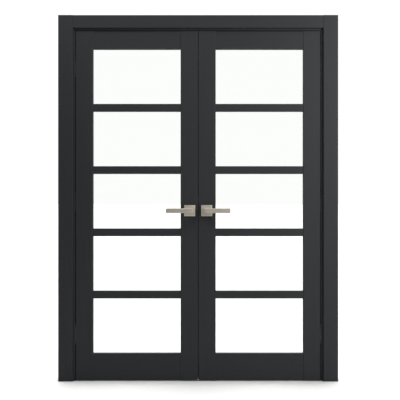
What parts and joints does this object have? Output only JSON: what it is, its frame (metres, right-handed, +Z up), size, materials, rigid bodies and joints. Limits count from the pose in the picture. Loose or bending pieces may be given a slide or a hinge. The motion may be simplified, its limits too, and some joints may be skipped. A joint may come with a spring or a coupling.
{
  "type": "french doors",
  "caption": "Pair of glazed interior french doors in a cased timber frame, with lever handles, concealed hinges, a latch and a flush bolt.",
  "frame": {"origin": "on the floor at the middle of the doorway, halfway between the fronts of the levers and the backs of the back casings", "axes": "+X along the doorway to the right as seen from the side the leaves open towards, -Y towards that side, +Z up"},
  "size_m": [1.625, 0.176, 2.126],
  "materials": {
    "timber_frame": "graphite matt foil wrapped round engineered timber",
    "timber_leaf": "graphite matt foil wrapped round engineered timber",
    "glass": "clear float glass",
    "seal": "matt black extruded rubber",
    "satin_nickel": "satin nickel plate, finely brushed",
    "hinge_metal": "satin zinc die casting",
    "lock_steel": "bright zinc plated steel"
  },
  "bodies": {
    "frame": {"left_jamb": "timber_frame", "right_jamb": "timber_frame", "head_jamb": "timber_frame", "frame_seal": "seal", "front_left_casing": "timber_frame", "front_right_casing": "timber_frame", "front_head_casing": "timber_frame", "back_left_casing": "timber_frame", "back_right_casing": "timber_frame", "back_head_casing": "timber_frame", "hinge_frame_cups": "hinge_metal", "flush_bolt_keeper": "lock_steel"},
    "left_leaf": {"left_hinge_stile": "timber_leaf", "left_meeting_stile": "timber_leaf", "left_top_rail": "timber_leaf", "left_bottom_rail": "timber_leaf", "left_bar_1": "timber_leaf", "left_bar_2": "timber_leaf", "left_bar_3": "timber_leaf", "left_bar_4": "timber_leaf", "left_glass_1": "glass", "left_glass_2": "glass", "left_glass_3": "glass", "left_glass_4": "glass", "left_glass_5": "glass", "left_seals": "seal", "left_hinge_leaf_cups": "hinge_metal", "left_front_rose": "satin_nickel", "left_back_rose": "satin_nickel", "strike_plate": "lock_steel", "flush_bolt_body": "lock_steel"},
    "right_leaf": {"right_hinge_stile": "timber_leaf", "right_meeting_stile": "timber_leaf", "right_top_rail": "timber_leaf", "right_bottom_rail": "timber_leaf", "right_bar_1": "timber_leaf", "right_bar_2": "timber_leaf", "right_bar_3": "timber_leaf", "right_bar_4": "timber_leaf", "right_glass_1": "glass", "right_glass_2": "glass", "right_glass_3": "glass", "right_glass_4": "glass", "right_glass_5": "glass", "right_seals": "seal", "right_hinge_leaf_cups": "hinge_metal", "right_front_rose": "satin_nickel", "right_back_rose": "satin_nickel", "latch_case": "lock_steel"},
    "left_handle": {"left_front_lever": "satin_nickel", "left_back_lever": "satin_nickel", "left_spindle": "lock_steel"},
    "right_handle": {"right_front_lever": "satin_nickel", "right_back_lever": "satin_nickel", "right_spindle": "lock_steel"},
    "latch_bolt": {"latch_bolt": "lock_steel"},
    "flush_bolt": {"flush_bolt_rod": "lock_steel"},
    "left_hinge_arms": {"left_hinge_arms": "hinge_metal"},
    "right_hinge_arms": {"right_hinge_arms": "hinge_metal"}
  },
  "joints": [
    {"name": "left_leaf_swing", "type": "hinge", "parent": "frame", "child": "left_leaf", "pos_m": [-0.714, -0.037, 1.04], "axis": [0, 0, -1], "range_deg": [0, 100]},
    {"name": "left_hinge_arm_turn", "type": "hinge", "parent": "frame", "child": "left_hinge_arms", "pos_m": [-0.714, -0.037, 1.04], "axis": [0, 0, -1], "range_deg": [0, 50]},
    {"name": "left_handle_turn", "type": "hinge", "parent": "left_leaf", "child": "left_handle", "pos_m": [-0.0495, -0.013, 0.991], "axis": [0, -1, 0], "range_deg": [0, 45], "stiffness_Nm_per_rad": 1.2, "springref_deg": -20.05},
    {"name": "right_leaf_swing", "type": "hinge", "parent": "frame", "child": "right_leaf", "pos_m": [0.714, -0.037, 1.04], "axis": [0, 0, 1], "range_deg": [0, 100]},
    {"name": "right_hinge_arm_turn", "type": "hinge", "parent": "frame", "child": "right_hinge_arms", "pos_m": [0.714, -0.037, 1.04], "axis": [0, 0, 1], "range_deg": [0, 50]},
    {"name": "right_handle_turn", "type": "hinge", "parent": "right_leaf", "child": "right_handle", "pos_m": [0.0495, -0.013, 0.991], "axis": [0, 1, 0], "range_deg": [0, 45], "stiffness_Nm_per_rad": 1.2, "springref_deg": -20.05},
    {"name": "latch_bolt_slide", "type": "slide", "parent": "right_leaf", "child": "latch_bolt", "axis": [-1, 0, 0], "range_m": [0, 0.009], "stiffness_N_per_m": 60, "springref_m": -0.02},
    {"name": "flush_bolt_slide", "type": "slide", "parent": "left_leaf", "child": "flush_bolt", "axis": [0, 0, 1], "range_m": [0, 0.014]}
  ],
  "couplings": [
    {"joint": "left_hinge_arm_turn", "follows": "left_leaf_swing", "ratio": 0.5},
    {"joint": "right_hinge_arm_turn", "follows": "right_leaf_swing", "ratio": 0.5}
  ]
}
